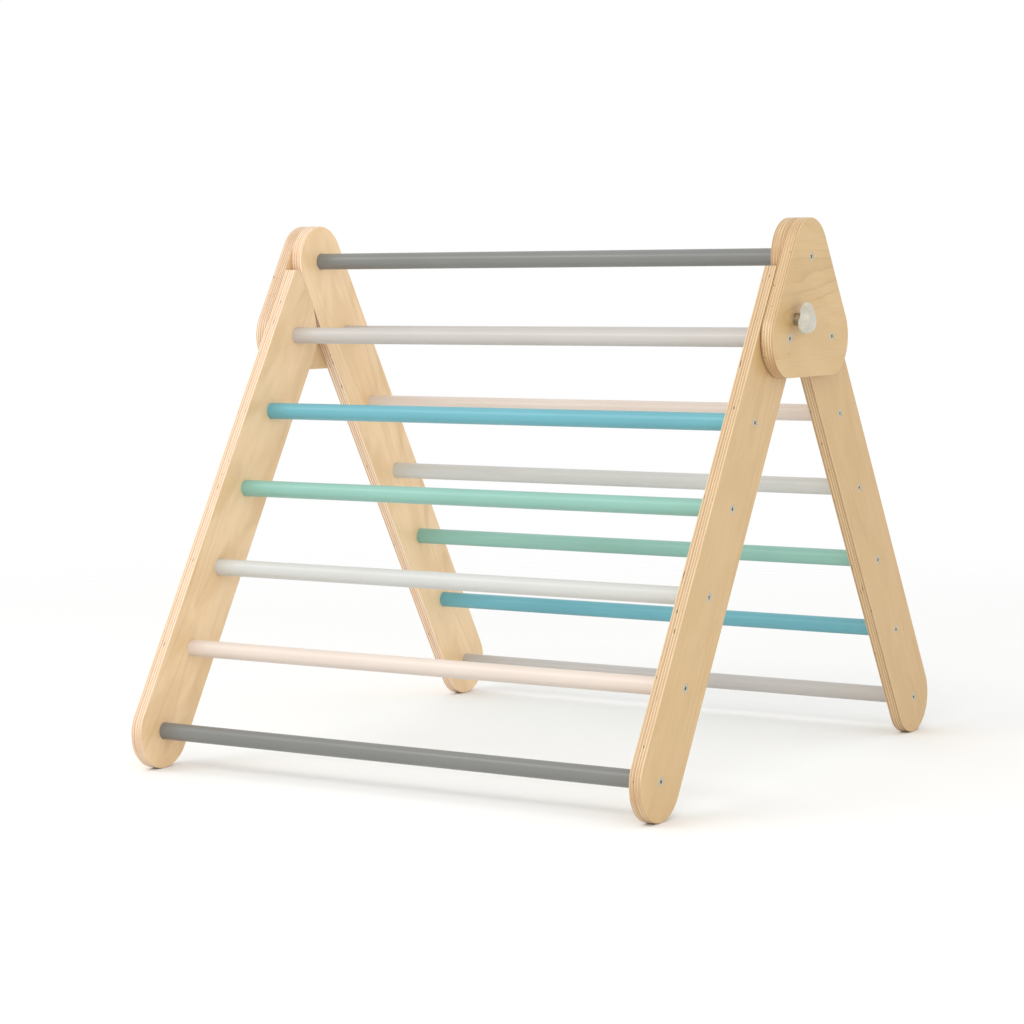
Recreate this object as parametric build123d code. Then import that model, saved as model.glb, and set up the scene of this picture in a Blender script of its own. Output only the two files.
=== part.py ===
from build123d import *
import math
import os

# Folding climbing triangle: two rung ladders that meet at the top, millimetres.
# X runs along the rungs, the front ladder leans out to -Y, the rear ladder to +Y, Z is up.
# The origin is on the floor, at the middle of the footprint.
# side is +1 for the right-hand end (+X) and -1 for the left-hand end (-X).

# ---- Frame ----
half_apex_angle = 31.0  # each ladder leans this far from upright, degrees
rung_pitch = 128.0  # between neighbouring rungs, along a ladder
rungs_per_ladder = 6  # below the top rung
clear_width = 780.0  # between the inner faces of the rear boards
rung_diameter = 24.0

# ---- Plywood boards and hinge plates ----
board_width = 106.0
board_thickness = 18.0
plate_thickness = 18.0
edge_round = 1.5
fold_gap = 7.0  # between the front and rear boards when folded side by side

# ---- Nose of the front board, above the pivot ----
nose_drop = 12.0  # the nose is cut off this far below the top rung's axis
nose_gap = 1.3  # between the mitred nose and the rear board's edge
nose_heel = 13.0  # the mitre ends this far above the point nearest the pivot

# ---- Rung sockets ----
socket_depth = 6.0
socket_clearance = 0.1

# ---- Countersunk screws ----
screw_head_radius = 6.0
screw_shank_radius = 3.0
screw_head_sink = 0.3  # head top below the face
screw_clearance = 0.2  # round the shank, in boards and plates
pilot_extra_depth = 1.0
screw_point = 5.0
rung_screw_length = 50.0
plate_screw_length = 70.0
recess_slot_width = 1.7
recess_slot_length = 6.4
recess_depth = 2.6
recess_taper = 12.0
screw_turn_step = 37.0  # each screw stops at its own angle

# ---- Pivot at the first front rung ----
washer_thickness = 1.0
washer_radius = 15.0
washer_bore_clearance = 0.3
bush_wall = 2.0
bush_cover = 4.0  # plate left outside the bush, which the bolt's head sits in
pivot_clearance = 0.05  # running fit of the bolt in the bush
pivot_bolt_length = 45.0
pivot_head_clearance = 0.3
insert_radius = 5.0
insert_length = 16.0

# ---- Spring plunger that locks the front ladder ----
lock_offset = 30.0  # from the pivot, up the front board
pin_nose_radius = 4.0
pin_engagement = 9.0  # depth of the nose in the front board
pin_release_gap = 1.0  # between the nose and the front board when the knob is pulled out
pin_shank_radius = 3.0
pin_collar_radius = 5.3
pin_collar_thickness = 2.0
pin_nose_chamfer = 0.8
pin_clearance = 0.05  # running fit in the barrel and its cap
track_clearance = 0.3  # each side of the pin's nose
track_end_clearance = 0.6  # beyond the nose's tip
barrel_radius = 8.5
barrel_chamber_radius = 5.7
barrel_guide_length = 6.0
barrel_recess = 0.5  # inner end behind the plate's inner face
barrel_edge_round = 0.6
barrel_shoulder = 3.2  # from the plate to the groove round the barrel
barrel_groove_width = 0.9
barrel_groove_depth = 0.7
barrel_cap_length = 4.0
spring_wire_radius = 0.4
spring_coil_radius = 4.6
spring_turns = 4
spring_end_gap = 0.15
spring_slack = 1.0  # left over when the knob is pulled right out

# ---- Pull knob, heights above its own bottom ----
knob_gap = 0.5  # between the barrel's end and the knob
knob_lobes = 3
knob_reach = 23.5  # from the axis to the tip of a lobe
knob_waist = 14.0  # from the axis to the bottom of a finger scoop
knob_scoop_radius = 14.0
knob_corner_radius = 6.0  # where a scoop turns into a lobe
knob_thickness = 12.5
knob_edge_round = 3.5
knob_boss_radius = 9.5
knob_boss_height = 1.5
knob_lean = 5.0  # of the topmost lobe, from straight up towards the front
pin_bite = 7.0  # length of the pin's end inside the knob


# ---- Places in the side view, as (y, z) ----
lean = math.radians(half_apex_angle)
board_half = board_width / 2
rung_radius = rung_diameter / 2
pivot_distance = (board_width + fold_gap) / math.sin(2 * lean)
ladder_length = pivot_distance + (rungs_per_ladder - 1) * rung_pitch
apex_height = ladder_length * math.cos(lean) + board_half
FRONT = -1
REAR = 1


def on_ladder(ladder, along, outward=0.0):
    """Point on a ladder's centre line, measured down from the apex, then out from the frame."""
    y = ladder * (along * math.sin(lean) + outward * math.cos(lean))
    z = apex_height - along * math.cos(lean) + outward * math.sin(lean)
    return (y, z)


def rung_place(ladder, number):
    """Axis of a rung; 0 is the top rung and 1 the rung at pivot height."""
    if number == 0:
        return on_ladder(ladder, 0.0)
    return on_ladder(ladder, pivot_distance + (number - 1) * rung_pitch)


apex = rung_place(REAR, 0)
pivot = rung_place(FRONT, 1)
rear_first = rung_place(REAR, 1)
front_foot = rung_place(FRONT, rungs_per_ladder)
rear_foot = rung_place(REAR, rungs_per_ladder)
lock_place = on_ladder(FRONT, pivot_distance - lock_offset)

# ---- Places along X, measured from the middle ----
rear_inner = clear_width / 2
rear_outer = rear_inner + board_thickness
plate_outer = rear_outer + plate_thickness
front_outer = rear_outer - washer_thickness
front_inner = front_outer - board_thickness


# ---- Holes that several pieces share ----
board_hole_radius = screw_shank_radius + screw_clearance
bush_bore_radius = screw_shank_radius + pivot_clearance
bush_radius = bush_bore_radius + bush_wall

# ---- Heights of the plunger, from the plate's outer face at 0 ----
pin_travel = pin_engagement + washer_thickness + pin_release_gap
nose_tip = -plate_thickness - washer_thickness - pin_engagement
barrel_bottom = barrel_recess - plate_thickness
guide_top = barrel_bottom + barrel_guide_length
collar_top = guide_top + pin_collar_thickness
spring_solid_length = 2 * spring_wire_radius * (spring_turns + 1)
cap_bottom = collar_top + pin_travel + spring_solid_length + spring_slack
barrel_top = cap_bottom + barrel_cap_length
knob_bottom = barrel_top + knob_gap


# ---- Tools for building ----
def side_plane(x):
    """Sketch plane across the rungs: its own x is Y and its own y is Z."""
    return Plane(origin=(x, 0, 0), x_dir=(0, 1, 0), z_dir=(1, 0, 0))


def side_slab(outline, side, inner, thickness):
    """A flat outline drawn in the side view, thickened between two distances from the middle."""
    start = inner if side > 0 else -inner - thickness
    return extrude(side_plane(start) * outline, amount=thickness)


def seat(side, x, place):
    """Location at one end of the frame whose own +Z points outwards, away from the middle."""
    y, z = place
    return Location((side * x, y, z), (0, side * 90, 0))


def rod(radius, bottom, top):
    """Cylinder on the local Z axis between two heights."""
    return extrude(Plane.XY.offset(bottom) * Circle(radius), amount=top - bottom)


def tube(outer, inner, bottom, top):
    return rod(outer, bottom, top) - rod(inner, bottom, top)


def softened(slab):
    """Both faces of a board with their outline edges rounded."""
    outline_edges = slab.faces().filter_by(Axis.X).edges()
    return fillet(outline_edges, edge_round)


# ---- Outlines of the boards ----
def stadium(first, second, radius):
    """Strip with full-round ends about two points of the side view."""
    middle = ((first[0] + second[0]) / 2, (first[1] + second[1]) / 2)
    run = math.dist(first, second)
    angle = math.degrees(math.atan2(second[1] - first[1], second[0] - first[0]))
    return Location((*middle, 0), (0, 0, angle)) * SlotCenterToCenter(run, 2 * radius)


def tangent_point(outside, centre, radius):
    """Where the line from a point outside a circle touches it, on the side facing the floor."""
    reach = math.dist(outside, centre)
    toward = math.atan2(outside[1] - centre[1], outside[0] - centre[0])
    turn = math.acos(radius / reach)
    angle = toward - turn
    return (centre[0] + radius * math.cos(angle), centre[1] + radius * math.sin(angle))


def arc_about(centre, start, end, radius):
    """Short arc from start to end about a centre, as a wire edge."""
    middle_y = (start[0] + end[0]) / 2 - centre[0]
    middle_z = (start[1] + end[1]) / 2 - centre[1]
    scale = radius / math.hypot(middle_y, middle_z)
    return ThreePointArc(start, (centre[0] + middle_y * scale, centre[1] + middle_z * scale), end)


def front_board_outline():
    """Full-round foot, rounded heel about the pivot, and a nose mitred along the rear board."""
    mitre_offset = -(board_half + nose_gap)
    nose_along = (nose_drop + board_half * math.sin(lean)) / math.cos(lean)
    mitre_start = (nose_drop + mitre_offset * math.sin(lean)) / math.cos(lean)
    mitre_end = pivot_distance * math.cos(2 * lean) - nose_heel
    nose_front = on_ladder(FRONT, nose_along, board_half)
    nose_back = on_ladder(REAR, mitre_start, mitre_offset)
    heel_top = on_ladder(REAR, mitre_end, mitre_offset)
    heel_touch = tangent_point(heel_top, pivot, board_half)
    heel_end = on_ladder(FRONT, pivot_distance, -board_half)
    foot_back = on_ladder(FRONT, ladder_length, -board_half)
    foot_tip = on_ladder(FRONT, ladder_length + board_half)
    foot_front = on_ladder(FRONT, ladder_length, board_half)
    return make_face(
        [
            Line(foot_front, nose_front),
            Line(nose_front, nose_back),
            Line(nose_back, heel_top),
            Line(heel_top, heel_touch),
            arc_about(pivot, heel_touch, heel_end, board_half),
            Line(heel_end, foot_back),
            ThreePointArc(foot_back, foot_tip, foot_front),
        ]
    )


def plate_outline():
    """Triangle round the top rung and the two first rungs, with corners as wide as the boards."""
    corners = [apex, pivot, rear_first]
    disc_edges = [edge for corner in corners for edge in (Pos(*corner) * Circle(board_half)).edges()]
    return make_hull(disc_edges)


# ---- Fasteners ----
def countersink(radius, depth_of_hole, play=0.0):
    """Cutter for a plain hole under a right-angled cone that seats a screw head; top at height 0."""
    mouth = screw_head_radius + screw_head_sink + play
    cone = extrude(Plane.XY * Circle(mouth), amount=radius - mouth, taper=45)
    return cone + rod(radius, -depth_of_hole, 0)


def countersunk_screw(length, turn, point):
    """Screw with its head top just below height 0 and its shank along -Z; point 0 is blunt."""
    head_depth = screw_head_radius - screw_shank_radius
    top = -screw_head_sink
    head = extrude(Plane.XY.offset(top) * Circle(screw_head_radius), amount=-head_depth, taper=45)
    shank = rod(screw_shank_radius, top - length + point, top)
    body = head + shank
    if point > 0:
        tip_plane = Plane.XY.offset(top - length + point)
        tip_taper = math.degrees(math.atan((screw_shank_radius - recess_slot_width / 2) / point))
        body += extrude(tip_plane * Circle(screw_shank_radius), amount=-point, taper=tip_taper)
    slot = Rectangle(recess_slot_length, recess_slot_width)
    cross = Rot(0, 0, turn) * (slot + Rot(0, 0, 90) * slot)
    return body - extrude(Plane.XY.offset(top) * cross, amount=-recess_depth, taper=recess_taper)


def pilot_hole(length, radius=screw_shank_radius):
    """Cutter for the hole that a screw's thread bites into, with room beyond its point."""
    return rod(radius, -screw_head_sink - length - pilot_extra_depth, 0)


# ---- Rungs ----
def rung(place, board_inner, screw_top, screw_length):
    """Round rung between its two sockets, with a pilot hole in each end."""
    y, z = place
    end = board_inner + socket_depth
    body = extrude(side_plane(-end) * Pos(y, z) * Circle(rung_radius), amount=2 * end)
    for side in (-1, 1):
        body -= seat(side, screw_top, place) * pilot_hole(screw_length)
    return body


def pivot_rung():
    """First front rung, bored at each end for the threaded insert and the bolt's end."""
    y, z = pivot
    end = front_inner + socket_depth
    body = extrude(side_plane(-end) * Pos(y, z) * Circle(rung_radius), amount=2 * end)
    for side in (-1, 1):
        body -= seat(side, end, pivot) * rod(insert_radius, -insert_length, 0)
        body -= seat(side, plate_outer, pivot) * pilot_hole(pivot_bolt_length, board_hole_radius)
    return body


# ---- Boards ----
def bored_board(slab, side, inner, places, sunk):
    """Cuts a rung socket and a screw hole at each place; sunk holes get a countersink."""
    outer = inner + board_thickness
    for number, place in enumerate(places):
        socket = rod(rung_radius + socket_clearance, -board_thickness, socket_depth - board_thickness)
        slab -= seat(side, outer, place) * socket
        plain_hole = rod(board_hole_radius, -board_thickness, 0)
        hole = countersink(board_hole_radius, board_thickness) if sunk[number] else plain_hole
        slab -= seat(side, outer, place) * hole
    return slab


def rear_board(side):
    places = [rung_place(REAR, number) for number in range(rungs_per_ladder + 1)]
    sunk = [False, False] + [True] * (rungs_per_ladder - 1)
    slab = softened(side_slab(stadium(apex, rear_foot, board_half), side, rear_inner, board_thickness))
    return bored_board(slab, side, rear_inner, places, sunk)


def lock_track(side):
    """Curved pocket in the front board's outer face that the lock pin runs in as the frame folds."""
    up_board = 90 - half_apex_angle
    swing = 2 * half_apex_angle
    path = CenterArc(pivot, lock_offset, up_board, -swing)
    pocket = SlotArc(path, 2 * (pin_nose_radius + track_clearance))
    depth = pin_engagement + track_end_clearance
    return side_slab(pocket, side, front_outer - depth, depth)


def front_board(side):
    places = [rung_place(FRONT, number) for number in range(1, rungs_per_ladder + 1)]
    sunk = [False] + [True] * (rungs_per_ladder - 1)
    slab = softened(side_slab(front_board_outline(), side, front_inner, board_thickness))
    return bored_board(slab, side, front_inner, places, sunk) - lock_track(side)


def hinge_plate(side):
    slab = softened(side_slab(plate_outline(), side, rear_outer, plate_thickness))
    for place in (apex, rear_first):
        slab -= seat(side, plate_outer, place) * countersink(board_hole_radius, plate_thickness)
    bolt_hole = countersink(board_hole_radius, plate_thickness, pivot_head_clearance)
    bush_seat = rod(bush_radius, -plate_thickness, -bush_cover)
    slab -= seat(side, plate_outer, pivot) * (bolt_hole + bush_seat)
    return slab - seat(side, plate_outer, lock_place) * rod(barrel_radius, -plate_thickness, 0)


# ---- Pivot hardware ----
def pivot_bush(side):
    sleeve = tube(bush_radius, bush_bore_radius, -plate_thickness, -bush_cover)
    return seat(side, plate_outer, pivot) * sleeve


def pivot_washer(side):
    ring = tube(washer_radius, screw_shank_radius + washer_bore_clearance, 0, washer_thickness)
    return seat(side, front_outer, pivot) * ring


def pivot_bolt(side):
    return seat(side, plate_outer, pivot) * countersunk_screw(pivot_bolt_length, 20.0, 0.0)


def pivot_insert(side):
    ring = tube(insert_radius, screw_shank_radius, -insert_length, 0)
    return seat(side, front_inner + socket_depth, pivot) * ring


# ---- Lock plunger, drawn on the local Z axis ----
def lock_barrel():
    body = rod(barrel_radius, barrel_bottom, barrel_top)
    body = fillet(body.edges().filter_by(GeomType.CIRCLE).sort_by(Axis.Z)[-1], barrel_edge_round)
    body -= rod(barrel_chamber_radius, guide_top, barrel_top)
    groove_top = barrel_shoulder + barrel_groove_width
    groove_floor = barrel_radius - barrel_groove_depth
    body -= tube(barrel_radius + barrel_groove_width, groove_floor, barrel_shoulder, groove_top)
    return body - rod(pin_nose_radius + pin_clearance, barrel_bottom, guide_top)


def lock_barrel_cap():
    return tube(barrel_chamber_radius, pin_shank_radius + pin_clearance, cap_bottom, barrel_top)


def lock_pin():
    nose = rod(pin_nose_radius, nose_tip, guide_top)
    nose = chamfer(nose.edges().filter_by(GeomType.CIRCLE).sort_by(Axis.Z)[0], pin_nose_chamfer)
    collar = rod(pin_collar_radius, guide_top, collar_top)
    return nose + collar + rod(pin_shank_radius, collar_top, knob_bottom + pin_bite)


def lock_spring():
    """Compression spring between the pin's collar and the barrel's cap."""
    bottom = collar_top + spring_end_gap + spring_wire_radius
    top = cap_bottom - spring_end_gap - spring_wire_radius
    coil = Helix((top - bottom) / spring_turns, top - bottom, spring_coil_radius, center=(0, 0, bottom))
    wire_plane = Plane(origin=coil @ 0, z_dir=coil % 0)
    return sweep(wire_plane * Circle(spring_wire_radius), path=coil, is_frenet=True)


def knob_outline():
    """Round disc with a finger scoop between every two lobes; one lobe points along local X."""
    outline = Circle(knob_reach)
    scoop = Pos(knob_waist + knob_scoop_radius, 0) * Circle(knob_scoop_radius)
    for number in range(knob_lobes):
        outline -= Rot(0, 0, (number + 0.5) * 360 / knob_lobes) * scoop
    return fillet(outline.vertices(), knob_corner_radius)


def lock_knob(side):
    """Moulded grip with rounded lobes on a short boss."""
    grip = extrude(Plane.XY.offset(knob_boss_height) * knob_outline(), amount=knob_thickness)
    grip = fillet(grip.faces().filter_by(Axis.Z).edges(), knob_edge_round)
    boss = rod(knob_boss_radius, 0, knob_boss_height)
    turn = 90 + side * (90 + knob_lean)
    body = Rot(0, 0, turn) * (grip + boss)
    return Pos(0, 0, knob_bottom) * (body - rod(pin_shank_radius, 0, pin_bite))


# ---- Assembly ----
parts = {}
sides = {"left": -1, "right": 1}

for name, side in sides.items():
    parts[f"rear_board_{name}"] = rear_board(side)
    parts[f"front_board_{name}"] = front_board(side)
    parts[f"hinge_plate_{name}"] = hinge_plate(side)
    parts[f"pivot_bolt_{name}"] = pivot_bolt(side)
    parts[f"pivot_bush_{name}"] = pivot_bush(side)
    parts[f"pivot_washer_{name}"] = pivot_washer(side)
    parts[f"pivot_insert_{name}"] = pivot_insert(side)
    lock_seat = seat(side, plate_outer, lock_place)
    parts[f"lock_barrel_{name}"] = lock_seat * lock_barrel()
    parts[f"lock_barrel_cap_{name}"] = lock_seat * lock_barrel_cap()
    parts[f"lock_pin_{name}"] = lock_seat * lock_pin()
    parts[f"lock_spring_{name}"] = lock_seat * lock_spring()
    parts[f"lock_knob_{name}"] = lock_seat * lock_knob(side)

parts["top_rung"] = rung(apex, rear_inner, plate_outer, plate_screw_length)
parts["rear_rung_1"] = rung(rear_first, rear_inner, plate_outer, plate_screw_length)
parts["front_rung_1"] = pivot_rung()
for number in range(2, rungs_per_ladder + 1):
    rear_place = rung_place(REAR, number)
    front_place = rung_place(FRONT, number)
    parts[f"rear_rung_{number}"] = rung(rear_place, rear_inner, rear_outer, rung_screw_length)
    parts[f"front_rung_{number}"] = rung(front_place, front_inner, front_outer, rung_screw_length)


def screw_set(places, x, length):
    """The same screw at each place, at both ends of the frame, as one group of solids."""
    screws = []
    for side in (-1, 1):
        for place in places:
            turn = screw_turn_step * (len(screws) + 1)
            screws.append(seat(side, x, place) * countersunk_screw(length, turn, screw_point))
    return Compound(children=screws)


lower_rungs = range(2, rungs_per_ladder + 1)
parts["hinge_plate_screws"] = screw_set([apex, rear_first], plate_outer, plate_screw_length)
parts["rear_rung_screws"] = screw_set(
    [rung_place(REAR, number) for number in lower_rungs], rear_outer, rung_screw_length
)
parts["front_rung_screws"] = screw_set(
    [rung_place(FRONT, number) for number in lower_rungs], front_outer, rung_screw_length
)

os.makedirs("parts", exist_ok=True)
for name, shape in parts.items():
    export_step(shape, f"parts/{name}.step")

print("pieces", len(parts))
print("height", round(apex_height + board_half, 1), "pivot at", [round(value, 3) for value in pivot])
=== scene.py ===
import math

import bmesh
import bpy
from mathutils import Matrix, Vector


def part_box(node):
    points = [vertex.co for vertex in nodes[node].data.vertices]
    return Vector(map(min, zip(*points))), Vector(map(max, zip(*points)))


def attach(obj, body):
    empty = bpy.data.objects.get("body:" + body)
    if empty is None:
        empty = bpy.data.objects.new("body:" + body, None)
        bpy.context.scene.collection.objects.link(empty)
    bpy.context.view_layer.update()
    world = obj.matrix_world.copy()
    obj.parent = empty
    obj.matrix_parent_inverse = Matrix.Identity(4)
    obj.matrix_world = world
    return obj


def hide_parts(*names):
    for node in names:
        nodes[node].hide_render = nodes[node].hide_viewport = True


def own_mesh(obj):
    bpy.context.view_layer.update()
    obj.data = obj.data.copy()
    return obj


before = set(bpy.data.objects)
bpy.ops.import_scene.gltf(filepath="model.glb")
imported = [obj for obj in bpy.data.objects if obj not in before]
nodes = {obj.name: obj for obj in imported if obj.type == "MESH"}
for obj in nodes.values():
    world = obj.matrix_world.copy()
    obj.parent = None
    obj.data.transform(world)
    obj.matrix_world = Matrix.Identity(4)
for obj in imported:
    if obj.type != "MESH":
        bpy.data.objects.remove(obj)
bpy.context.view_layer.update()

SIDES = ("left", "right")
LEAN = math.radians(31)  # of each ladder, from upright
LOWER_RUNGS = range(2, 7)  # the rungs screwed to the boards alone


def shade(red, green, blue):
    """A colour as a paint card gives it, 0 to 255, as Blender's linear colour."""
    card = [value / 255 for value in (red, green, blue)]
    linear = [v / 12.92 if v <= 0.04045 else ((v + 0.055) / 1.055) ** 2.4 for v in card]
    return (*linear, 1.0)


# ---- Node trees ----
def open_socket(sockets, name):
    """The socket of that name that is in use, because some nodes keep hidden twins."""
    if isinstance(name, int):
        return sockets[name]
    return next(s for s in sockets if s.name == name and s.enabled)


class Tree:
    """A node tree, with short ways to add the nodes that these looks are mixed from."""

    def __init__(self, tree):
        self.tree = tree

    def add(self, kind, inputs=None, **settings):
        node = self.tree.nodes.new(kind)
        for name, value in settings.items():
            setattr(node, name, value)
        for name, value in (inputs or {}).items():
            socket = open_socket(node.inputs, name)
            for item in value if isinstance(value, list) else [value]:
                if isinstance(item, bpy.types.NodeSocket):
                    self.tree.links.new(item, socket)
                else:
                    socket.default_value = item
        return node

    def calc(self, operation, *values, clamp=False):
        inputs = dict(enumerate(values))
        return self.add("ShaderNodeMath", inputs, operation=operation, use_clamp=clamp).outputs[0]

    def span(self, value, low, high, start=0.0, end=1.0):
        """value's run from low to high, eased into start to end and held there."""
        inputs = {"Value": value, "From Min": low, "From Max": high, "To Min": start, "To Max": end}
        return self.add("ShaderNodeMapRange", inputs, interpolation_type="SMOOTHSTEP").outputs[0]

    def stretch(self, where, scale, shift=(0, 0, 0), turn=0.0):
        """where, turned about X so that Z runs with the grain, then squeezed by scale."""
        turned = self.add(
            "ShaderNodeMapping", {"Vector": where, "Rotation": (turn, 0, 0), "Location": shift}
        ).outputs[0]
        return self.add("ShaderNodeMapping", {"Vector": turned, "Scale": scale}).outputs[0]

    def noise(self, where, scale=1.0, detail=2.0, roughness=0.5, distortion=0.0):
        inputs = {
            "Vector": where,
            "Scale": scale,
            "Detail": detail,
            "Roughness": roughness,
            "Distortion": distortion,
        }
        return self.add("ShaderNodeTexNoise", inputs, noise_dimensions="3D").outputs[0]

    def mix(self, share, first, second, blend="MIX"):
        inputs = {"Factor": share, "A": first, "B": second}
        node = self.add("ShaderNodeMix", None, data_type="RGBA", blend_type=blend)
        for name, value in inputs.items():
            socket = open_socket(node.inputs, name)
            if isinstance(value, bpy.types.NodeSocket):
                self.tree.links.new(value, socket)
            else:
                socket.default_value = value
        return open_socket(node.outputs, "Result")

    def total(self, *values):
        result = values[0]
        for value in values[1:]:
            result = self.calc("ADD", result, value)
        return result

    def bump(self, height, depth, strength=1.0):
        """Small relief, depth in metres from the lowest to the highest of height."""
        return self.add(
            "ShaderNodeBump", {"Height": height, "Distance": depth, "Strength": strength}
        ).outputs[0]


def new_finish(name):
    """An empty material, its tree, and its coordinates fixed to the piece."""
    material = bpy.data.materials.new(name)
    material.use_nodes = True
    material.node_tree.nodes.clear()
    tree = Tree(material.node_tree)
    return material, tree, tree.add("ShaderNodeTexCoord").outputs


def surface(tree, **inputs):
    """The shader that ends a finish. Underscores in names stand for spaces."""
    named = {name.replace("_", " "): value for name, value in inputs.items()}
    shader = tree.add("ShaderNodeBsdfPrincipled", named)
    tree.add("ShaderNodeOutputMaterial", {"Surface": shader.outputs[0]})


# ---- Birch plywood ----
PLIES = 9  # in 18 mm board


def birch_plywood(name, low_x, thickness, grain, shift, figure, cloud, tone_and_shade):
    """Clear-coated birch plywood lying across X. grain is the turn about X that stands the face
    grain upright, figure and cloud are how strongly growth lines and soft patches of mottling and
    painted sheen show, and the last argument multiplies the colour: the sheet's own tone, and
    painted shade on the darker right-hand sheets."""
    material, tree, place = new_finish(name)
    where = place["Object"]
    across = tree.add("ShaderNodeSeparateXYZ", {"Vector": where}).outputs[0]
    facing = tree.add(
        "ShaderNodeVectorRotate",
        {"Vector": place["Normal"], "Angle": grain},
        rotation_type="X_AXIS",
    ).outputs[0]
    facing_parts = tree.add("ShaderNodeSeparateXYZ", {"Vector": facing}).outputs
    sideways = tree.calc("ABSOLUTE", facing_parts[0])
    edge = tree.span(sideways, 0.96, 0.72)

    # Plies, counted through the thickness; every second one has its grain across the sheet.
    waver = tree.noise(tree.stretch(where, (0, 14, 14), shift), detail=2.0)
    depth = tree.calc("DIVIDE", tree.calc("SUBTRACT", across, low_x), thickness)
    depth = tree.calc("MULTIPLY_ADD", tree.calc("SUBTRACT", waver, 0.5), 0.035, depth)
    held = tree.calc("MINIMUM", tree.calc("MAXIMUM", depth, 0.002), 0.998)
    ply = tree.calc("MULTIPLY", held, PLIES)
    crosswise = tree.calc("GREATER_THAN", tree.calc("MODULO", ply, 2.0), 1.0)
    joint = tree.add(
        "ShaderNodeTexWhiteNoise",
        {"W": tree.calc("ADD", tree.calc("ROUND", ply), 10.0 * shift[0])},
        noise_dimensions="1D",
    ).outputs[0]
    bold = tree.calc("GREATER_THAN", joint, 0.74)
    reach = tree.calc("MULTIPLY_ADD", bold, 0.16, 0.10)
    glue = tree.calc("SUBTRACT", 1.0, tree.calc("DIVIDE", tree.calc("PINGPONG", ply, 0.5), reach))
    glue = tree.calc("MULTIPLY", glue, tree.calc("MULTIPLY_ADD", bold, 0.55, 0.4), clamp=True)

    # Growth lines: contours of a slow field that runs with the grain.
    field = tree.noise(
        tree.stretch(where, (9, 11, 1.3), shift, grain), detail=1.2, roughness=0.4, distortion=0.2
    )
    ripple = tree.noise(tree.stretch(where, (9, 34, 21), shift, grain), detail=2.0)
    field = tree.calc("MULTIPLY_ADD", ripple, 0.035, field)
    rings = tree.calc("FRACT", tree.calc("MULTIPLY", field, 13.0))
    late_wood = tree.calc(
        "MULTIPLY", tree.span(rings, 0.55, 0.94), tree.span(rings, 1.0, 0.96)
    )
    patchy = tree.span(
        tree.noise(tree.stretch(where, (3, 15, 4), shift, grain), detail=1.0), 0.4, 0.66
    )
    late_wood = tree.calc("MULTIPLY", late_wood, patchy)

    # Fibres, fine pores and broad streaks, all drawn out along the grain.
    fibres = tree.noise(tree.stretch(where, (60, 950, 22), shift, grain), detail=3.0, roughness=0.6)
    pores = tree.noise(tree.stretch(where, (60, 2900, 210), shift, grain), detail=1.0)
    streaks = tree.noise(tree.stretch(where, (8, 150, 4.5), shift, grain), detail=2.0)

    # Soft patches painted into the colour: partly the wood's own mottling, partly painted sheen
    # where the fibres dip and the clear coat catches the light differently.
    patches = tree.noise(
        tree.stretch(where, (6, 25, 10), shift, grain + 0.28),
        detail=2.0,
        roughness=0.45,
        distortion=0.5,
    )
    cloudy = tree.span(patches, 0.36, 0.66)

    face = tree.mix(cloudy, shade(240, 211, 168), shade(224, 190, 142))
    face = tree.mix(cloud, shade(233, 202, 156), face)
    face = tree.mix(tree.calc("MULTIPLY", late_wood, figure), face, shade(184, 140, 92))
    warmth = tree.span(streaks, 0.35, 0.68)
    face = tree.mix(tree.calc("MULTIPLY", warmth, 0.22), face, shade(232, 192, 138))
    dark_fibre = tree.span(fibres, 0.48, 0.72, 0.0, 0.2)
    face = tree.mix(dark_fibre, face, shade(200, 160, 112))
    pale_pore = tree.span(pores, 0.6, 0.78, 0.0, 0.16)
    face = tree.mix(pale_pore, face, shade(246, 228, 194))

    # A few short brown mineral streaks.
    fleck_field = tree.noise(
        tree.stretch(where, (20, 260, 30), shift, grain), detail=2.0, distortion=0.3
    )
    fleck = tree.span(fleck_field, 0.76, 0.83, 0.0, 0.55)
    face = tree.mix(fleck, face, shade(132, 96, 66))

    # Edges: end grain where the fibres meet the cut, long grain where they lie along it.
    along = tree.calc("ABSOLUTE", facing_parts[2])
    over = tree.calc("ABSOLUTE", facing_parts[1])
    cut_across = tree.add(
        "ShaderNodeMix", {"Factor": crosswise, 2: along, 3: over}, data_type="FLOAT"
    ).outputs[0]
    end_grain = tree.span(cut_across, 0.25, 0.85)
    ply_tone = tree.noise(
        tree.add(
            "ShaderNodeCombineXYZ", {0: tree.calc("FLOOR", ply), 1: shift[1], 2: shift[2]}
        ).outputs[0],
        scale=3.7,
        detail=0.0,
    )
    grit = tree.noise(tree.stretch(where, (2600, 900, 500), shift, grain), detail=2.0)
    lines = tree.noise(tree.stretch(where, (1500, 90, 24), shift, grain), detail=2.0)
    long_edge = tree.mix(tree.span(lines, 0.4, 0.65), shade(241, 222, 192), shade(228, 203, 168))
    cut_edge = tree.mix(tree.span(grit, 0.35, 0.7), shade(216, 184, 150), shade(196, 160, 126))
    sawn = tree.mix(end_grain, long_edge, cut_edge)
    sawn = tree.mix(tree.span(ply_tone, 0.4, 0.6, 0.0, 0.3), sawn, shade(208, 170, 140))
    sawn = tree.mix(glue, sawn, shade(126, 88, 62))

    # Voids and patched gaps in the inner cross plies. The voids are only bumped in, so their dark
    # brown is painted shade.
    gap_field = tree.noise(tree.stretch(where, (330, 120, 75), shift, grain), detail=1.0)
    gaps = tree.calc("MULTIPLY", tree.span(gap_field, 0.715, 0.74), crosswise)
    sawn = tree.mix(tree.calc("MULTIPLY", gaps, 0.85), sawn, shade(66, 42, 28))

    wood = tree.mix(edge, face, sawn)
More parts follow.
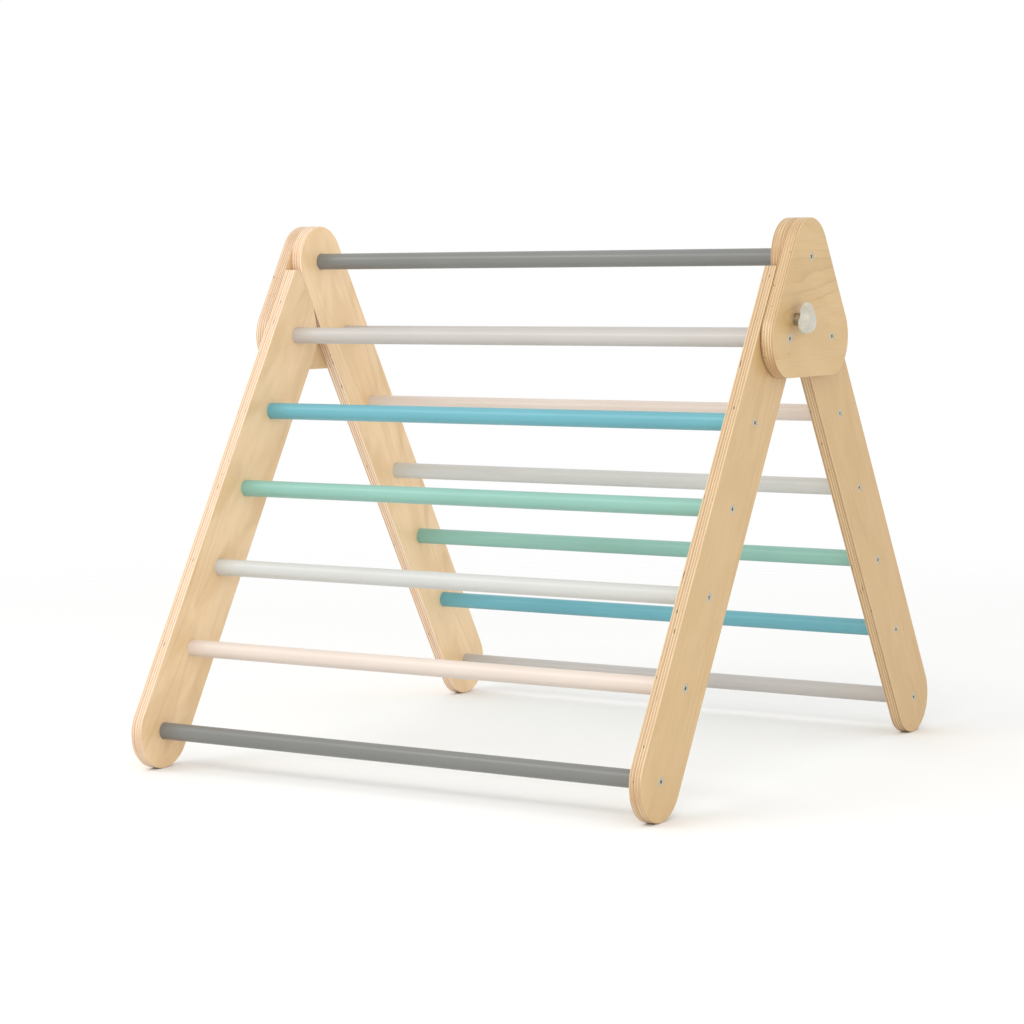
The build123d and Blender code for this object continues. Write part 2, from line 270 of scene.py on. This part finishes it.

    # Rounded arrises are handled and knocked, and duller than the faces; they are also a little
    # paler, partly rubbed wear and partly a painted highlight along the edge.
    arris_wear_and_highlight = tree.calc(
        "MULTIPLY", tree.span(sideways, 0.99, 0.9), tree.span(sideways, 0.35, 0.6)
    )
    rubbed = tree.noise(tree.stretch(where, (0, 45, 45), shift), detail=3.0)
    worn = tree.calc("MULTIPLY", arris_wear_and_highlight, tree.span(rubbed, 0.38, 0.62, 0.1, 0.4))
    # Paler edges: rubbed wear and a painted highlight.
    wood = tree.mix(worn, wood, shade(244, 226, 192))
    # Tone multiplier: the sheet's own tone, and painted shade on the right-hand sheets.
    wood = tree.mix(1.0, wood, tone_and_shade, blend="MULTIPLY")

    sheen = tree.noise(tree.stretch(where, (9, 60, 12), shift, grain), detail=3.0)
    roughness = tree.total(
        tree.span(sheen, 0.3, 0.7, 0.36, 0.46),
        tree.calc("MULTIPLY", edge, 0.14),
        tree.calc("MULTIPLY", worn, 0.12),
    )
    relief = tree.total(
        tree.calc("MULTIPLY", fibres, 0.55),
        tree.calc("MULTIPLY", pores, 0.25),
        tree.calc("MULTIPLY", tree.calc("MULTIPLY", grit, edge), 0.5),
        tree.calc("MULTIPLY", tree.calc("MULTIPLY", glue, edge), -0.7),
        tree.calc("MULTIPLY", gaps, -2.5),
    )
    surface(
        tree,
        Base_Color=wood,
        Roughness=roughness,
        Normal=tree.bump(relief, 0.00016, 0.55),
        Coat_Weight=0.22,
        Coat_Roughness=0.28,
        Specular_IOR_Level=0.4,
    )
    return material


def tint(value, red=1.0, blue=1.0):
    """A multiplier for a sheet that is a little lighter or darker, redder or less yellow than the
    next;
    the darker, redder multipliers of the right-hand sheets are painted shade.
    """
    return (value * red, value, value * blue, 1.0)


def cover(node_name, material):
    """Gives a CAD piece its finish in every slot."""
    mesh = nodes[node_name].data
    if not mesh.materials:
        mesh.materials.append(material)
    for index in range(len(mesh.materials)):
        mesh.materials[index] = material


def plywood_node(node_name, grain, shift, figure, cloud, tone_and_shade):
    low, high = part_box(node_name)
    sheet = birch_plywood(
        f"birch {node_name.replace('_', ' ')}",
        low.x,
        high.x - low.x,
        grain,
        shift,
        figure,
        cloud,
        tone_and_shade,
    )
    cover(node_name, sheet)


# The front ladder's grain leans one way and the rear ladder's the other; a plate's runs level.
# The right-hand sheets are tinted darker and redder than the left-hand ones: painted shade on the
# ladder's right side.
plywood_node("front_board_left", LEAN, (0.3, 1.7, 0.4), 0.2, 0.75, tint(1.0, blue=1.03))
plywood_node("front_board_right", LEAN, (2.1, 0.2, 3.3), 0.16, 0.25, tint(0.74, 1.06, 0.85))
plywood_node("rear_board_left", -LEAN, (1.4, 3.9, 2.2), 0.2, 0.65, tint(1.08, blue=1.03))
plywood_node("rear_board_right", -LEAN, (3.6, 2.5, 1.1), 0.16, 0.3, tint(0.69, 1.09, 0.80))
plywood_node("hinge_plate_left", math.pi / 2, (0.9, 4.4, 3.7), 0.3, 0.35, tint(0.93))
plywood_node("hinge_plate_right", math.pi / 2, (4.2, 1.2, 0.6), 0.26, 0.3, tint(0.75, 1.06, 0.81))


# ---- Painted rungs ----
def satin_paint(name, colour, underside):
    """Sprayed satin paint on a turned wooden rung: faint peel, fibres just showing through, and
    rubbed marks where hands and feet go. underside is the darker shade below the top coat."""
    material, tree, place = new_finish(name)
    where = place["Object"]
    cloud = tree.noise(
        tree.add("ShaderNodeMapping", {"Vector": where, "Scale": (5, 18, 18)}).outputs[0]
    )
    fibres = tree.noise(
        tree.add("ShaderNodeMapping", {"Vector": where, "Scale": (16, 620, 620)}).outputs[0],
        detail=3.0,
        roughness=0.6,
    )
    peel = tree.noise(where, scale=1250.0, detail=1.0)
    scuffs = tree.noise(
        tree.add("ShaderNodeMapping", {"Vector": where, "Scale": (24, 160, 160)}).outputs[0],
        detail=4.0,
        roughness=0.65,
        distortion=0.4,
    )
    worn = tree.span(scuffs, 0.66, 0.80)
    coat = tree.mix(tree.span(cloud, 0.3, 0.7, 0.0, 0.35), colour, underside)
    coat = tree.mix(tree.span(fibres, 0.5, 0.75, 0.0, 0.16), coat, underside)
    coat = tree.mix(tree.calc("MULTIPLY", worn, 0.3), coat, underside)
    roughness = tree.total(
        tree.span(cloud, 0.3, 0.7, 0.30, 0.38), tree.calc("MULTIPLY", worn, 0.18)
    )
    relief = tree.total(tree.calc("MULTIPLY", peel, 0.5), tree.calc("MULTIPLY", fibres, 0.6))
    surface(
        tree,
        Base_Color=coat,
        Roughness=roughness,
        Normal=tree.bump(relief, 0.00009, 0.6),
        Specular_IOR_Level=0.45,
    )
    return material


dark_grey = satin_paint("dark grey paint", shade(120, 121, 118), shade(109, 109, 106))
light_grey = satin_paint("light grey paint", shade(187, 182, 177), shade(175, 169, 163))
teal_blue = satin_paint("teal blue paint", shade(103, 168, 180), shade(88, 148, 160))
mint = satin_paint("mint paint", shade(136, 182, 169), shade(120, 166, 152))
off_white = satin_paint("off-white paint", shade(196, 197, 193), shade(184, 185, 181))
beige = satin_paint("beige pink paint", shade(216, 203, 192), shade(203, 188, 175))

rung_paint = {
    "top_rung": dark_grey,
    "front_rung_1": light_grey,
    "front_rung_2": teal_blue,
    "front_rung_3": mint,
    "front_rung_4": off_white,
    "front_rung_5": beige,
    "front_rung_6": dark_grey,
    "rear_rung_1": light_grey,
    "rear_rung_2": beige,
    "rear_rung_3": off_white,
    "rear_rung_4": mint,
    "rear_rung_5": teal_blue,
    "rear_rung_6": light_grey,
}
for rung_name, paint in rung_paint.items():
    cover(rung_name, paint)


# ---- Metal and plastic ----
def worked_metal(name, colour, tarnish, roughness, mottle, scale, grime_and_shade=None):
    """Plated or turned metal with an uneven film, fine scratches and a cloudy shine. The last
    argument names an attribute that marks where dirt and painted shade darken the colour in a
    recess."""
    material, tree, place = new_finish(name)
    where = place["Object"]
    film = tree.noise(where, scale=scale, detail=4.0, roughness=0.6)
    scratches = tree.noise(
        tree.add("ShaderNodeMapping", {"Vector": where, "Scale": (2600, 420, 2600)}).outputs[0],
        detail=2.0,
    )
    dulled = tree.span(film, 0.35, 0.7, 0.0, mottle)
    metal = tree.mix(dulled, colour, tarnish)
    if grime_and_shade:
        # Dirt and painted shade: the marked recess is mixed towards near black.
        recess_grime_and_shade = tree.add("ShaderNodeAttribute", None, attribute_name=grime_and_shade).outputs["Fac"]
        metal = tree.mix(tree.calc("MULTIPLY", recess_grime_and_shade, 0.93), metal, shade(40, 42, 38))
    shine = tree.total(
        tree.span(film, 0.3, 0.7, roughness - 0.07, roughness + 0.09),
        tree.span(scratches, 0.45, 0.7, 0.0, 0.08),
    )
    surface(
        tree,
        Base_Color=metal,
        Metallic=1.0,
        Roughness=shine,
        Normal=tree.bump(scratches, 0.00003, 0.5),
    )
    return material


def moulded_plastic(name, colour, aged, roughness, grain_scale, grain_depth):
    """Moulded plastic: a fine spark-eroded texture, slow colour drift and a soft shine."""
    material, tree, place = new_finish(name)
    where = place["Object"]
    drift = tree.noise(where, scale=38.0, detail=2.0)
    texture = tree.noise(where, scale=grain_scale, detail=2.0, roughness=0.55)
    handled = tree.noise(where, scale=140.0, detail=3.0)
    plastic = tree.mix(tree.span(drift, 0.35, 0.7), colour, aged)
    shine = tree.total(
        tree.span(handled, 0.35, 0.7, roughness - 0.06, roughness + 0.06),
        tree.calc("MULTIPLY", texture, 0.04),
    )
    surface(
        tree,
        Base_Color=plastic,
        Roughness=shine,
        Normal=tree.bump(texture, grain_depth, 0.5),
        Specular_IOR_Level=0.5,
        Coat_Weight=0.08,
        Coat_Roughness=0.3,
    )
    return material


# Zinc plate, with each cross recess painted dark: dirt and painted shade.
zinc = worked_metal(
    "zinc plate", shade(202, 203, 190), shade(150, 150, 134), 0.36, 0.5, 420.0, "recess"
)
dull_steel = worked_metal(
    "dull steel", shade(186, 174, 152), shade(140, 124, 100), 0.46, 0.7, 260.0
)
spring_steel = worked_metal(
    "spring steel", shade(170, 172, 174), shade(120, 120, 118), 0.3, 0.4, 300.0
)
brass = worked_metal("brass", shade(214, 180, 108), shade(160, 122, 66), 0.3, 0.6, 240.0)
nylon = moulded_plastic("nylon", shade(226, 222, 208), shade(212, 205, 186), 0.42, 2200.0, 0.00003)
knob_plastic = moulded_plastic(
    "off-white plastic", shade(200, 196, 182), shade(192, 187, 171), 0.3, 2600.0, 0.00004
)

hardware_finish = {
    "lock_barrel": dull_steel,
    "lock_barrel_cap": dull_steel,
    "lock_pin": dull_steel,
    "pivot_bush": nylon,
    "pivot_washer": nylon,
    "pivot_insert": brass,
}
for part_name, finish in hardware_finish.items():
    for side in SIDES:
        cover(f"{part_name}_{side}", finish)


# ---- Pull knobs ----
KNOB_RADIUS, KNOB_LOBE = 0.0213, 0.0022  # mean reach from the axis, and how far lobes swell it
KNOB_LEAN = math.radians(5)  # of the topmost lobe, from straight up towards the front
KNOB_STEPS = 120
# From the foot up: height, inset from the outline, and how much of the lobes' swell shows.
KNOB_ROWS = [
    (0.0, 0.0118, 0.0),
    (0.0004, 0.0114, 0.0),
    (0.0015, 0.0114, 0.0),
    (0.0017, 0.0060, 0.8),
    (0.0021, 0.0032, 1.0),
    (0.0029, 0.0014, 1.0),
    (0.0043, 0.0003, 1.0),
    (0.0060, 0.0, 1.0),
    (0.0076, 0.0003, 1.0),
    (0.0091, 0.0011, 1.0),
    (0.0104, 0.0024, 1.0),
    (0.0115, 0.0042, 1.0),
    (0.0124, 0.0066, 1.0),
    (0.0131, 0.0096, 0.9),
    (0.0136, 0.0130, 0.7),
    (0.0139, 0.0172, 0.4),
]
SCOOP_RADIUS, SCOOP_CENTRE, SCOOP_HEIGHT = 0.0125, 0.0185, 0.0125
SCOOP_AIM = math.radians(162)  # the finger scoop faces the front, a little above level


def finer_rows(rows, parts):
    """The rows with each step between two of them divided into equal parts."""
    finer = [rows[0]]
    for lower, upper in zip(rows, rows[1:]):
        for part in range(1, parts + 1):
            share = part / parts
            finer.append(tuple(a + (b - a) * share for a, b in zip(lower, upper)))
    return finer


def pull_knob(side, sign):
    """Moulded grip, a rounded triangle with a crowned face and one finger scoop in its side."""
    low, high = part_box(f"lock_knob_{side}")
    barrel_low, barrel_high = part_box(f"lock_barrel_{side}")
    axis = (barrel_low + barrel_high) / 2
    foot = low.x if sign > 0 else high.x
    shape = bmesh.new()
    rings = []
    for height, inset, share in finer_rows(KNOB_ROWS, 4):
        ring = []
        for step in range(KNOB_STEPS):
            angle = math.tau * step / KNOB_STEPS
            from_lobe = angle - math.pi / 2 - KNOB_LEAN
            outline = KNOB_RADIUS + KNOB_LOBE * math.cos(3 * from_lobe) * share
            reach = outline - inset
            off_aim = angle - SCOOP_AIM
            cut = SCOOP_RADIUS**2 - (height - SCOOP_HEIGHT) ** 2
            within = cut - (SCOOP_CENTRE * math.sin(off_aim)) ** 2
            if within > 0 and math.cos(off_aim) > 0:
                reach = min(reach, SCOOP_CENTRE * math.cos(off_aim) - math.sqrt(within))
            y = axis.y + reach * math.cos(angle)
            z = axis.z + reach * math.sin(angle)
            ring.append(shape.verts.new((foot + sign * height, y, z)))
        rings.append(ring)
    for lower, upper in zip(rings, rings[1:]):
        for step in range(KNOB_STEPS):
            after = (step + 1) % KNOB_STEPS
            shape.faces.new((lower[step], lower[after], upper[after], upper[step]))
    shape.faces.new(rings[0])
    shape.faces.new(rings[-1])
    bmesh.ops.recalc_face_normals(shape, faces=shape.faces)
    for face in shape.faces:
        face.smooth = True
    mesh = bpy.data.meshes.new(f"pull_knob_{side}")
    shape.to_mesh(mesh)
    shape.free()
    mesh.set_sharp_from_angle(angle=math.radians(38))
    mesh.materials.append(knob_plastic)
    knob = bpy.data.objects.new(f"pull_knob_{side}", mesh)
    bpy.context.scene.collection.objects.link(knob)
    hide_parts(f"lock_knob_{side}")
    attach(knob, f"lock_{side}")


pull_knob("left", -1)
pull_knob("right", 1)


# ---- Plunger springs ----
def plunger_spring(side):
    """The coil behind the knob, which on the real plunger shortens as the knob is pulled; here it
    is a fixed copy of the CAD coil on the rear ladder.
    """
    coil = nodes[f"lock_spring_{side}"]
    mesh = coil.data.copy()
    mesh.name = f"plunger_spring_{side}"
    mesh.materials.clear()
    mesh.materials.append(spring_steel)
    spring = bpy.data.objects.new(mesh.name, mesh)
    bpy.context.scene.collection.objects.link(spring)
    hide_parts(coil.name)
    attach(spring, "rear_ladder")
    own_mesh(spring)


plunger_spring("left")
plunger_spring("right")


# ---- Screws ----
HEAD_RADIUS, SHANK_RADIUS, HEAD_SINK = 0.006, 0.003, 0.0003


def screw_tree():
    """Nodes that set a countersunk cross-recess screw at every point, its head facing the way the
    point's "facing" says and turned as the driver happened to leave it."""
    group = bpy.data.node_groups.new("countersunk screws", "GeometryNodeTree")
    face = group.interface
    face.new_socket("Places", in_out="INPUT", socket_type="NodeSocketGeometry")
    sizes = {
        "Head radius": HEAD_RADIUS,
        "Shank radius": SHANK_RADIUS,
        "Length": 0.05,
        "Point length": 0.005,
        "Rim land": 0.0003,
        "Recess length": 0.0066,
        "Recess width": 0.0017,
        "Recess depth": 0.0026,
    }
    for name, value in sizes.items():
        socket = face.new_socket(name, in_out="INPUT", socket_type="NodeSocketFloat")
        socket.subtype = "DISTANCE"
        socket.default_value = value
    face.new_socket("Turn seed", in_out="INPUT", socket_type="NodeSocketInt").default_value = 3
    face.new_socket("Finish", in_out="INPUT", socket_type="NodeSocketMaterial")
    face.new_socket("Screws", in_out="OUTPUT", socket_type="NodeSocketGeometry")
    tree = Tree(group)
    given = tree.add("NodeGroupInput").outputs

    def up(amount):
        return tree.add("ShaderNodeCombineXYZ", {"Z": amount}).outputs[0]

    def moved(shape, by, turn=(0, 0, 0), scale=(1, 1, 1)):
        inputs = {"Geometry": shape, "Translation": by, "Rotation": turn, "Scale": scale}
        return tree.add("GeometryNodeTransform", inputs).outputs[0]

    def frustum(corners, low_radius, high_radius, height):
        inputs = {
            "Vertices": corners,
            "Radius Top": high_radius,
            "Radius Bottom": low_radius,
            "Depth": height,
        }
        return tree.add("GeometryNodeMeshCone", inputs).outputs[0]

    # Body, from its point up: point, shank, cone under the head, rim, and a softened edge.
    head_cone = tree.calc("SUBTRACT", given["Head radius"], given["Shank radius"])
    head_height = tree.calc("ADD", head_cone, given["Rim land"])
    shank = tree.calc(
        "SUBTRACT",
        tree.calc("SUBTRACT", given["Length"], head_height),
        given["Point length"],
    )
    tip = tree.calc("MULTIPLY", given["Shank radius"], 0.28)
    ring = tree.add("GeometryNodeMeshCircle", {"Vertices": 48, "Radius": tip}, fill_type="NGON")
    base = tree.add("GeometryNodeFlipFaces", {"Mesh": ring.outputs[0]}).outputs[0]
    edge = tree.calc("MULTIPLY", given["Rim land"], 0.5)
    steps = [
        (given["Point length"], given["Shank radius"], tip),
        (shank, given["Shank radius"], given["Shank radius"]),
        (head_cone, given["Head radius"], given["Shank radius"]),
        (edge, given["Head radius"], given["Head radius"]),
        (
            edge,
            tree.calc("SUBTRACT", given["Head radius"], edge),
            given["Head radius"],
        ),
    ]
    body, top = ring.outputs[0], None
    for rise, radius, before in steps:
        inputs = {"Mesh": body, "Offset": up(rise), "Offset Scale": 1.0, "Individual": False}
        if top is not None:
            inputs["Selection"] = top
        raised = tree.add("GeometryNodeExtrudeMesh", inputs, mode="FACES")
        top = raised.outputs["Top"]
        body = tree.add(
            "GeometryNodeScaleElements",
            {
                "Geometry": raised.outputs["Mesh"],
                "Selection": top,
                "Scale": tree.calc("DIVIDE", radius, before),
            },
            domain="FACE",
        ).outputs[0]
    body = tree.add("GeometryNodeJoinGeometry", {"Geometry": [body, base]}).outputs[0]
    body = tree.add("GeometryNodeMergeByDistance", {"Geometry": body, "Distance": 1e-6}).outputs[0]
    drop = tree.calc("MULTIPLY", given["Length"], -1.0)
    body = moved(body, up(drop))

    # Cross recess: two tapered blades, with the driver's guide pit and four witness lines.
    blade_reach = tree.calc("MULTIPLY", given["Recess length"], 0.7072)
    blade = frustum(
        4, tree.calc("MULTIPLY", blade_reach, 0.6), blade_reach, given["Recess depth"]
    )
    slim = tree.calc("DIVIDE", given["Recess width"], given["Recess length"])
    sunk = up(tree.calc("MULTIPLY_ADD", given["Recess depth"], -1.0, 0.00005))
    half_turn = tree.add("ShaderNodeCombineXYZ", {"Z": math.pi / 4}).outputs[0]
    squared = moved(blade, (0, 0, 0), half_turn)
    first = moved(squared, sunk, scale=tree.add(
        "ShaderNodeCombineXYZ", {"X": 1.0, "Y": slim, "Z": 1.0}
    ).outputs[0])
    second = moved(squared, sunk, scale=tree.add(
        "ShaderNodeCombineXYZ", {"X": slim, "Y": 1.0, "Z": 1.0}
    ).outputs[0])
    pit_radius = tree.calc("MULTIPLY", given["Recess width"], 0.82)
    pit = moved(
        frustum(16, tree.calc("MULTIPLY", pit_radius, 0.45), pit_radius, given["Recess depth"]),
        sunk,
    )
    mark = moved(
        frustum(4, tree.calc("MULTIPLY", blade_reach, 0.9), blade_reach, 0.0005),
        (0, 0, -0.0004),
        half_turn,
    )
    marks = [
        moved(
            moved(mark, (0, 0, 0), scale=(0.86, 0.055, 1)),
            (0, 0, 0),
            (0, 0, math.radians(turn)),
        )
        for turn in (45, 135)
    ]
    cutters = [first, second, pit, *marks]
    screw = tree.add(
        "GeometryNodeMeshBoolean",
        {"Mesh 1": body, "Mesh 2": cutters},
        operation="DIFFERENCE",
        solver="EXACT",
    ).outputs[0]

    # Marks the cross recess, which the zinc finish paints dark as dirt and painted shade.
    spot = tree.add("GeometryNodeInputPosition").outputs[0]
    spot_parts = tree.add("ShaderNodeSeparateXYZ", {"Vector": spot}).outputs
    flat_spot = tree.add(
        "ShaderNodeCombineXYZ", {"X": spot_parts[0], "Y": spot_parts[1]}
    ).outputs[0]
    off_axis = tree.add("ShaderNodeVectorMath", {0: flat_spot}, operation="LENGTH").outputs["Value"]
    within = tree.calc(
        "LESS_THAN", off_axis, tree.calc("MULTIPLY", given["Recess length"], 0.49)
    )
    below = tree.span(spot_parts[2], -0.0001, -0.0009)
    screw = tree.add(
        "GeometryNodeStoreNamedAttribute",
        {"Geometry": screw, "Name": "recess", "Value": tree.calc("MULTIPLY", within, below)},
        data_type="FLOAT",
        domain="POINT",
    ).outputs[0]

    facing = tree.add(
        "GeometryNodeInputNamedAttribute", {"Name": "facing"}, data_type="FLOAT_VECTOR"
    ).outputs[0]
    aimed = tree.add("FunctionNodeAlignRotationToVector", {"Vector": facing}, axis="Z").outputs[0]
    turn = tree.add(
        "FunctionNodeRandomValue",
        {"Min": 0.0, "Max": math.pi / 2, "Seed": given["Turn seed"]},
        data_type="FLOAT",
    )
    spun = tree.add(
        "FunctionNodeAxisAngleToRotation",
        {"Axis": (0, 0, 1), "Angle": open_socket(turn.outputs, "Value")},
    ).outputs[0]
    rotation = tree.add(
        "FunctionNodeRotateRotation", {0: aimed, 1: spun}, rotation_space="LOCAL"
    ).outputs[0]
    placed = tree.add(
        "GeometryNodeInstanceOnPoints",
        {"Points": given["Places"], "Instance": screw, "Rotation": rotation},
    ).outputs[0]
    real = tree.add("GeometryNodeRealizeInstances", {"Geometry": placed}).outputs[0]
    done = tree.add(
        "GeometryNodeSetMaterial", {"Geometry": real, "Material": given["Finish"]}
    ).outputs[0]
    tree.add("NodeGroupOutput", {"Screws": done})
    return group


def set_inputs(modifier, values):
    """Sets a modifier's inputs by the names they have in its tree."""
    for item in modifier.node_group.interface.items_tree:
        if item.item_type == "SOCKET" and item.in_out == "INPUT" and item.name in values:
            modifier[item.identifier] = values[item.name]


def plain_mesh(piece, name):
    """The piece as its modifiers leave it, as a mesh object of its own."""
    bpy.context.view_layer.update()
    shown = piece.evaluated_get(bpy.context.evaluated_depsgraph_get())
    mesh = bpy.data.meshes.new_from_object(shown)
    mesh.name = name
    made = bpy.data.objects.new(name, mesh)
    bpy.context.scene.collection.objects.link(made)
    bpy.data.objects.remove(piece)
    return made


def rung_axis(node_name):
    low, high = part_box(node_name)
    return (low + high) / 2


def screw_places(rung_names, sheet):
    """Where the heads sit: on each rung's axis, just under the outer face of that sheet, at both
    sides, with the way each one faces."""
    places = []
    for side, sign in (("left", -1), ("right", 1)):
        low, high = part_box(f"{sheet}_{side}")
        outer = high.x if sign > 0 else low.x
        for rung_name in rung_names:
            axis = rung_axis(rung_name)
            place = Vector((outer - sign * HEAD_SINK, axis.y, axis.z))
            places.append((place, Vector((sign, 0, 0))))
    return places


screws_group = screw_tree()


def drive_screws(name, places, sizes, body, *cad_names):
    """One piece with a screw at each place, standing for the CAD screws there."""
    points = bpy.data.meshes.new(name + "_places")
    points.from_pydata([place for place, _ in places], [], [])
    facing = points.attributes.new("facing", "FLOAT_VECTOR", "POINT")
    for index, (_, way) in enumerate(places):
        facing.data[index].vector = way
    piece = bpy.data.objects.new(name + "_set_out", points)
    bpy.context.scene.collection.objects.link(piece)
    modifier = piece.modifiers.new("screws", "NODES")
    modifier.node_group = screws_group
    set_inputs(modifier, {**sizes, "Finish": zinc})
    screws = plain_mesh(piece, name)
    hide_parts(*cad_names)
    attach(screws, body)
    return screws


drive_screws(
    "plate_screws",
    screw_places(["top_rung", "rear_rung_1"], "hinge_plate"),
    {"Length": 0.07, "Turn seed": 5},
    "rear_ladder",
    "hinge_plate_screws",
)
drive_screws(
    "rear_board_screws",
    screw_places([f"rear_rung_{number}" for number in LOWER_RUNGS], "rear_board"),
    {"Length": 0.05, "Turn seed": 8},
    "rear_ladder",
    "rear_rung_screws",
)
drive_screws(
    "front_board_screws",
    screw_places([f"front_rung_{number}" for number in LOWER_RUNGS], "front_board"),
    {"Length": 0.05, "Turn seed": 12},
    "front_ladder",
    "front_rung_screws",
)
drive_screws(
    "pivot_bolts",
    screw_places(["front_rung_1"], "hinge_plate"),
    {"Length": 0.045, "Point length": 0.0005, "Turn seed": 21},
    "front_ladder",
    "pivot_bolt_left",
    "pivot_bolt_right",
)


# ---- Floor, light and camera ----
def round_floor(radius, steps):
    """Pale matte floor that thins out into the white of the studio long before its rim."""
    mesh = bpy.data.meshes.new("floor")
    shape = bmesh.new()
    bmesh.ops.create_circle(shape, cap_ends=True, segments=steps, radius=radius)
    shape.to_mesh(mesh)
    shape.free()
    floor = bpy.data.objects.new("floor", mesh)
    bpy.context.scene.collection.objects.link(floor)
    material, tree, place = new_finish("pale floor")
    drift = tree.noise(place["Object"], scale=0.8, detail=2.0)
    pale = tree.mix(tree.span(drift, 0.3, 0.7), shade(244, 244, 243), shade(241, 241, 240))
    matte = tree.add(
        "ShaderNodeBsdfPrincipled",
        {"Base Color": pale, "Roughness": 0.8, "Specular IOR Level": 0.15},
    ).outputs[0]
    clear = tree.add("ShaderNodeBsdfTransparent").outputs[0]
    away = tree.add(
        "ShaderNodeVectorMath", {0: place["Object"]}, operation="LENGTH"
    ).outputs["Value"]
    thin = tree.span(away, 0.9, 3.2)
    shown = tree.add("ShaderNodeMixShader", {0: thin, 1: matte, 2: clear}).outputs[0]
    tree.add("ShaderNodeOutputMaterial", {"Surface": shown})
    mesh.materials.append(material)


def soft_light(name, place, aim, width, height, power, colour=(1, 1, 1)):
    lamp = bpy.data.lights.new(name, "AREA")
    lamp.shape = "RECTANGLE"
    lamp.size, lamp.size_y = width, height
    lamp.energy = power
    lamp.color = colour
    light = bpy.data.objects.new(name, lamp)
    bpy.context.scene.collection.objects.link(light)
    way = Vector(aim) - Vector(place)
    turn = way.to_track_quat("-Z", "Y").to_matrix().to_4x4()
    light.matrix_world = Matrix.Translation(place) @ turn


round_floor(6.0, 96)
soft_light("strip", (-0.9, -2.3, 2.4), (0, 0, 0.4), 3.4, 0.8, 34, (1.0, 0.99, 0.97))
soft_light("front", (1.1, -2.7, 1.5), (-0.4, 0, 0.35), 1.2, 1.2, 14)

studio = bpy.data.worlds.new("studio")
studio.use_nodes = True
studio.node_tree.nodes.clear()
air = Tree(studio.node_tree)
backdrop = air.add("ShaderNodeBackground", {"Color": (1.0, 1.0, 1.0, 1.0), "Strength": 1.0})
air.add("ShaderNodeOutputWorld", {"Surface": backdrop.outputs[0]})
bpy.context.scene.world = studio
bpy.context.scene.view_settings.view_transform = "Standard"

camera_data = bpy.data.cameras.new("camera")
camera_data.sensor_width = 36.0
camera_data.lens = 96.4
camera_data.clip_start = 0.1
camera_data.clip_end = 100.0
camera = bpy.data.objects.new("camera", camera_data)
bpy.context.scene.collection.objects.link(camera)
AZIMUTH, LOOKING_DOWN, TILT = math.radians(31.687), math.radians(5.015), math.radians(-0.459)
camera.matrix_world = (
    Matrix.Translation((2.0395, -3.3927, 0.6944))
    @ Matrix.Rotation(AZIMUTH, 4, "Z")
    @ Matrix.Rotation(math.pi / 2 - LOOKING_DOWN, 4, "X")
    @ Matrix.Rotation(TILT, 4, "Z")
)
bpy.context.scene.camera = camera
